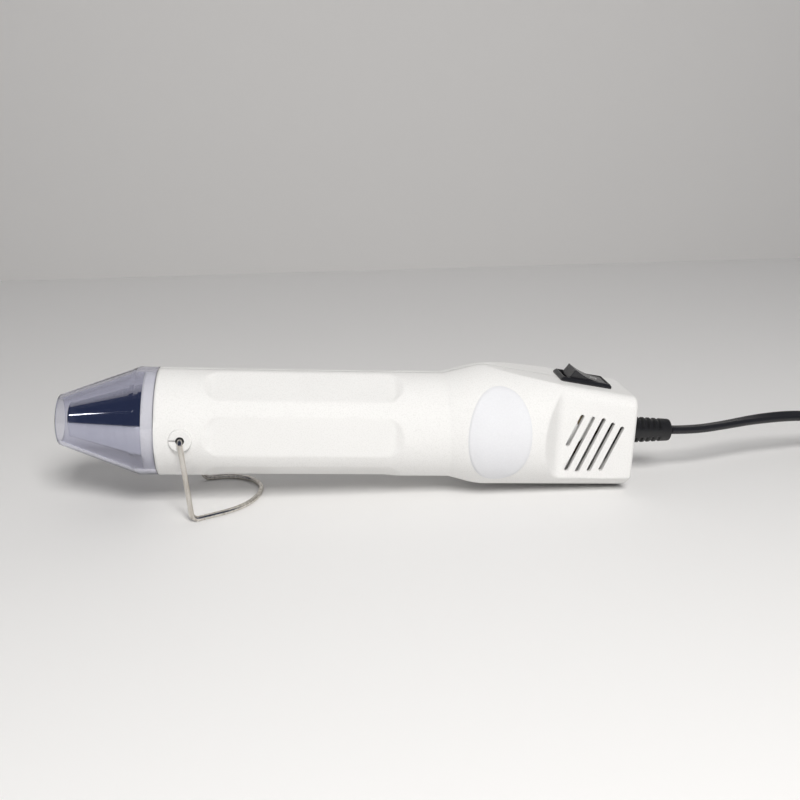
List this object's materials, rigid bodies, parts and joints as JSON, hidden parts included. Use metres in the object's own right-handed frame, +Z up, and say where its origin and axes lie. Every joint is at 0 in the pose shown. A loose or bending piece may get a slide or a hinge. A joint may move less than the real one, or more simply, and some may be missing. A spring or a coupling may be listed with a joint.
{
  "type": "embossing heat tool",
  "caption": "Slim hot-air tool for embossing: round housing with finger flats, clear guard over a steel nozzle, rocker switch, side vents, folding wire stand and a flat cord.",
  "frame": {"origin": "under the middle of the tool's length, on the table that its stand and rear edge rest on", "axes": "+X from the nozzle to the cord, +Y away from the near side, +Z up"},
  "size_m": [0.4233, 0.0698, 0.0551],
  "materials": {
    "white_plastic": "satin moulded white plastic",
    "guard_plastic": "clear lavender tinted plastic",
    "bright_steel": "polished steel",
    "steel_sheet": "plain drawn steel sheet",
    "mica": "pressed mica sheet",
    "resistance_wire": "oxidised resistance wire",
    "aluminium_can": "plain",
    "brass_strip": "stamped strip",
    "black_plastic": "satin black",
    "ferrite": "pressed ferrite",
    "lamination": "stacked laminations",
    "fan_plastic": "natural moulded plastic",
    "screw_steel": "zinc plated",
    "board": "paper laminate board",
    "lead_insulation": "sleeved wire",
    "rocker_plastic": "gloss black",
    "relief_rubber": "matt black",
    "stand_wire": "nickel plated wire",
    "cord_pvc": "smooth black flex",
    "tie_pvc": "thin black strap",
    "pin_brass": "nickel plated brass"
  },
  "bodies": {
    "tool": {"near_housing": "white_plastic", "far_housing": "white_plastic", "front_guard": "guard_plastic", "nozzle_cone": "bright_steel", "heater_tube": "steel_sheet", "mica_sleeve": "mica", "mica_former": "mica", "heating_coil": "resistance_wire", "thermal_fuse": "aluminium_can", "thermal_cutout": "brass_strip", "motor_can": "steel_sheet", "motor_end_cap": "black_plastic", "motor_magnets": "ferrite", "motor_frame": "fan_plastic", "motor_screws": "screw_steel", "rectifier_board": "board", "rectifier_diodes": "black_plastic", "heater_leads": "lead_insulation", "mains_leads": "lead_insulation", "switch_body": "black_plastic", "switch_terminals": "brass_strip", "strain_relief": "relief_rubber", "housing_screws": "screw_steel", "cord_lead": "cord_pvc", "cord_coil": "cord_pvc", "cord_tail": "cord_pvc", "coil_tie": "tie_pvc", "plug_body": "cord_pvc", "plug_pins": "pin_brass"},
    "stand": {"wire_stand": "stand_wire"},
    "rocker": {"switch_rocker": "rocker_plastic"},
    "rotor": {"fan_impeller": "fan_plastic", "motor_shaft": "bright_steel", "motor_armature": "lamination"}
  },
  "joints": [
    {"name": "stand_swing", "type": "hinge", "parent": "tool", "child": "stand", "pos_m": [-0.0733, 0, 0.0322], "axis": [0, 1, 0], "range_deg": [-12, 100]},
    {"name": "rocker_tilt", "type": "hinge", "parent": "tool", "child": "rocker", "pos_m": [0.08328, 0, 0.03988], "axis": [0, 1, 0], "range_deg": [-28, 0]},
    {"name": "fan_spin", "type": "hinge", "parent": "tool", "child": "rotor", "pos_m": [0.04877, 0, 0.02663], "axis": [0.9986, 0, -0.0537], "continuous": true}
  ]
}
